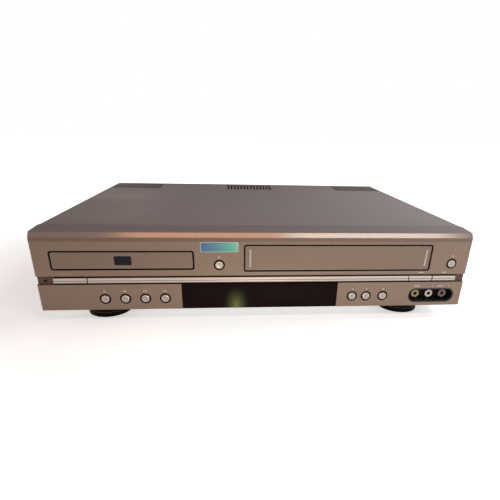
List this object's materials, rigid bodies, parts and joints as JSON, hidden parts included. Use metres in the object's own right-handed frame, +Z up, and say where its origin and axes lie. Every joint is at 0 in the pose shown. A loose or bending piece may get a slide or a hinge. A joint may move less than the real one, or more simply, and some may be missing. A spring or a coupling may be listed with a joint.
{
  "type": "dvd player",
  "caption": "Home deck with a sliding disc tray on the left and a hinged cassette flap on the right, a metallic bar of keys, front sockets and a vented steel cover.",
  "frame": {"origin": "centre of the overall box on the plane that the feet stand on", "axes": "+X to the right seen from the front, +Y from the front panel to the back, +Z up"},
  "size_m": [0.43, 0.3264, 0.094],
  "materials": {
    "cover_paint": "satin fine texture",
    "panel_bronze": "satin metallic paint",
    "bar_metal": "satin",
    "window_smoke": "polished",
    "button_silver": "satin chrome",
    "black_plastic": "matte",
    "foot_black": "gloss",
    "socket_yellow": "gloss",
    "socket_white": "gloss",
    "socket_red": "gloss",
    "lamp_lens": "frosted",
    "circuit_board": "lacquered",
    "display_glass": "polished",
    "sheet_steel": "zinc plated",
    "bright_steel": "ground",
    "grey_plastic": "moulded",
    "white_plastic": "moulded",
    "drum_aluminium": "turned",
    "belt_rubber": "matte"
  },
  "bodies": {
    "case": {"front_panel": "panel_bronze", "display_window": "window_smoke", "trim_bar": "bar_metal", "standby_lamp": "lamp_lens", "front_socket_panel": "black_plastic", "video_socket": "socket_yellow", "audio_left_socket": "socket_white", "audio_right_socket": "socket_red", "front_circuit_board": "circuit_board", "display_module": "display_glass", "base_chassis": "sheet_steel", "rear_panel": "sheet_steel", "top_cover": "cover_paint", "cover_screws": "bright_steel", "feet": "foot_black", "dvd_loader_frame": "black_plastic", "tray_motor": "sheet_steel", "tray_belt": "belt_rubber", "clamp_bridge": "sheet_steel", "vcr_chassis": "sheet_steel", "door_spring": "bright_steel", "drum_base": "drum_aluminium", "main_circuit_board": "circuit_board", "power_supply_board": "circuit_board", "tuner_module": "sheet_steel", "rear_socket_block": "black_plastic", "mains_inlet": "black_plastic"},
    "tray": {"disc_tray": "black_plastic", "tray_door": "panel_bronze"},
    "tray_gear": {"tray_drive_gear": "white_plastic"},
    "tray_motor_shaft": {"motor_pulley": "white_plastic"},
    "traverse": {"traverse_frame": "grey_plastic", "guide_rods": "bright_steel"},
    "spindle": {"turntable": "black_plastic"},
    "pickup": {"pickup_sled": "black_plastic"},
    "feed": {"feed_screw": "bright_steel"},
    "clamp": {"disc_clamp": "white_plastic"},
    "holder": {"cassette_holder": "sheet_steel"},
    "flap": {"cassette_door": "panel_bronze"},
    "drum": {"head_drum": "drum_aluminium"},
    "supply_reel": {"supply_reel_table": "white_plastic"},
    "take_up_reel": {"take_up_reel_table": "white_plastic"},
    "capstan": {"capstan_flywheel": "bright_steel"},
    "roller_arm": {"pinch_arm": "sheet_steel"},
    "roller": {"pinch_roller": "belt_rubber"},
    "open_close_key": {"open_close_button": "button_silver"},
    "eject_key": {"eject_button": "button_silver"},
    "stop_key": {"stop_button": "button_silver"},
    "rewind_key": {"rewind_button": "button_silver"},
    "play_key": {"play_button": "button_silver"},
    "forward_key": {"forward_button": "button_silver"},
    "channel_down_key": {"channel_down_button": "button_silver"},
    "channel_up_key": {"channel_up_button": "button_silver"},
    "record_key": {"record_button": "button_silver"},
    "power_key": {"power_button": "bar_metal"},
    "dvd_select_key": {"dvd_select_button": "bar_metal"},
    "vcr_select_key": {"vcr_select_button": "bar_metal"}
  },
  "joints": [
    {"name": "tray_slide", "type": "slide", "parent": "case", "child": "tray", "axis": [0, -1, 0], "range_m": [0, 0.14]},
    {"name": "tray_gear_turn", "type": "hinge", "parent": "case", "child": "tray_gear", "pos_m": [-0.1803, -0.14475, 0.0569], "axis": [0, 0, 1], "range_deg": [0, 669.45]},
    {"name": "motor_pulley_turn", "type": "hinge", "parent": "case", "child": "tray_motor_shaft", "pos_m": [-0.1402, -0.13475, 0.0569], "axis": [0, 0, 1], "range_deg": [0, 2948.76]},
    {"name": "traverse_lift", "type": "slide", "parent": "case", "child": "traverse", "axis": [0, 0, 1], "range_m": [0, 0.006]},
    {"name": "spindle_spin", "type": "hinge", "parent": "traverse", "child": "spindle", "pos_m": [-0.1322, -0.09275, 0.0581], "axis": [0, 0, 1], "continuous": true},
    {"name": "pickup_slide", "type": "slide", "parent": "traverse", "child": "pickup", "axis": [0, 1, 0], "range_m": [0, 0.034]},
    {"name": "feed_screw_turn", "type": "hinge", "parent": "traverse", "child": "feed", "pos_m": [-0.0987, -0.08405, 0.0525], "axis": [0, 1, 0], "range_deg": [0, 4081]},
    {"name": "clamp_spin", "type": "hinge", "parent": "case", "child": "clamp", "pos_m": [-0.1322, -0.09275, 0.0656], "axis": [0, 0, 1], "continuous": true},
    {"name": "holder_lift", "type": "slide", "parent": "case", "child": "holder", "axis": [0, 0, -1], "range_m": [0, 0.019]},
    {"name": "flap_swing", "type": "hinge", "parent": "case", "child": "flap", "pos_m": [0.0782, -0.15825, 0.085], "axis": [1, 0, 0], "range_deg": [0, 88], "stiffness_Nm_per_rad": 0.004, "springref_deg": -28.65},
    {"name": "drum_spin", "type": "hinge", "parent": "case", "child": "drum", "pos_m": [0.0782, 0.01325, 0.03], "axis": [0, 0, 1], "continuous": true},
    {"name": "supply_reel_spin", "type": "hinge", "parent": "case", "child": "supply_reel", "pos_m": [0.0322, -0.06975, 0.03], "axis": [0, 0, 1], "continuous": true},
    {"name": "take_up_reel_spin", "type": "hinge", "parent": "case", "child": "take_up_reel", "pos_m": [0.1242, -0.06975, 0.03], "axis": [0, 0, 1], "continuous": true},
    {"name": "capstan_spin", "type": "hinge", "parent": "case", "child": "capstan", "pos_m": [0.1302, -0.01575, 0.03], "axis": [0, 0, 1], "continuous": true},
    {"name": "roller_arm_swing", "type": "hinge", "parent": "case", "child": "roller_arm", "pos_m": [0.1582, 0.00625, 0.037], "axis": [0, 0, 1], "range_deg": [0, 24]},
    {"name": "roller_spin", "type": "hinge", "parent": "roller_arm", "child": "roller", "pos_m": [0.13179, 0.00112, 0.037], "axis": [0, 0, 1], "continuous": true},
    {"name": "open_close_press", "type": "slide", "parent": "case", "child": "open_close_key", "axis": [0, 1, 0], "range_m": [0, 0.001], "stiffness_N_per_m": 250, "springref_m": -0.001},
    {"name": "eject_press", "type": "slide", "parent": "case", "child": "eject_key", "axis": [0, 1, 0], "range_m": [0, 0.001], "stiffness_N_per_m": 250, "springref_m": -0.001},
    {"name": "stop_press", "type": "slide", "parent": "case", "child": "stop_key", "axis": [0, 1, 0], "range_m": [0, 0.001], "stiffness_N_per_m": 250, "springref_m": -0.001},
    {"name": "rewind_press", "type": "slide", "parent": "case", "child": "rewind_key", "axis": [0, 1, 0], "range_m": [0, 0.001], "stiffness_N_per_m": 250, "springref_m": -0.001},
    {"name": "play_press", "type": "slide", "parent": "case", "child": "play_key", "axis": [0, 1, 0], "range_m": [0, 0.001], "stiffness_N_per_m": 250, "springref_m": -0.001},
    {"name": "forward_press", "type": "slide", "parent": "case", "child": "forward_key", "axis": [0, 1, 0], "range_m": [0, 0.001], "stiffness_N_per_m": 250, "springref_m": -0.001},
    {"name": "channel_down_press", "type": "slide", "parent": "case", "child": "channel_down_key", "axis": [0, 1, 0], "range_m": [0, 0.001], "stiffness_N_per_m": 250, "springref_m": -0.001},
    {"name": "channel_up_press", "type": "slide", "parent": "case", "child": "channel_up_key", "axis": [0, 1, 0], "range_m": [0, 0.001], "stiffness_N_per_m": 250, "springref_m": -0.001},
    {"name": "record_press", "type": "slide", "parent": "case", "child": "record_key", "axis": [0, 1, 0], "range_m": [0, 0.001], "stiffness_N_per_m": 250, "springref_m": -0.001},
    {"name": "power_press", "type": "slide", "parent": "case", "child": "power_key", "axis": [0, 1, 0], "range_m": [0, 0.001], "stiffness_N_per_m": 250, "springref_m": -0.001},
    {"name": "dvd_select_press", "type": "slide", "parent": "case", "child": "dvd_select_key", "axis": [0, 1, 0], "range_m": [0, 0.001], "stiffness_N_per_m": 250, "springref_m": -0.001},
    {"name": "vcr_select_press", "type": "slide", "parent": "case", "child": "vcr_select_key", "axis": [0, 1, 0], "range_m": [0, 0.001], "stiffness_N_per_m": 250, "springref_m": -0.001}
  ],
  "couplings": [
    {"joint": "tray_gear_turn", "follows": "tray_slide", "rad_per_m": 83.333},
    {"joint": "motor_pulley_turn", "follows": "tray_slide", "rad_per_m": 367.49},
    {"joint": "feed_screw_turn", "follows": "pickup_slide", "rad_per_m": 2094.4}
  ]
}
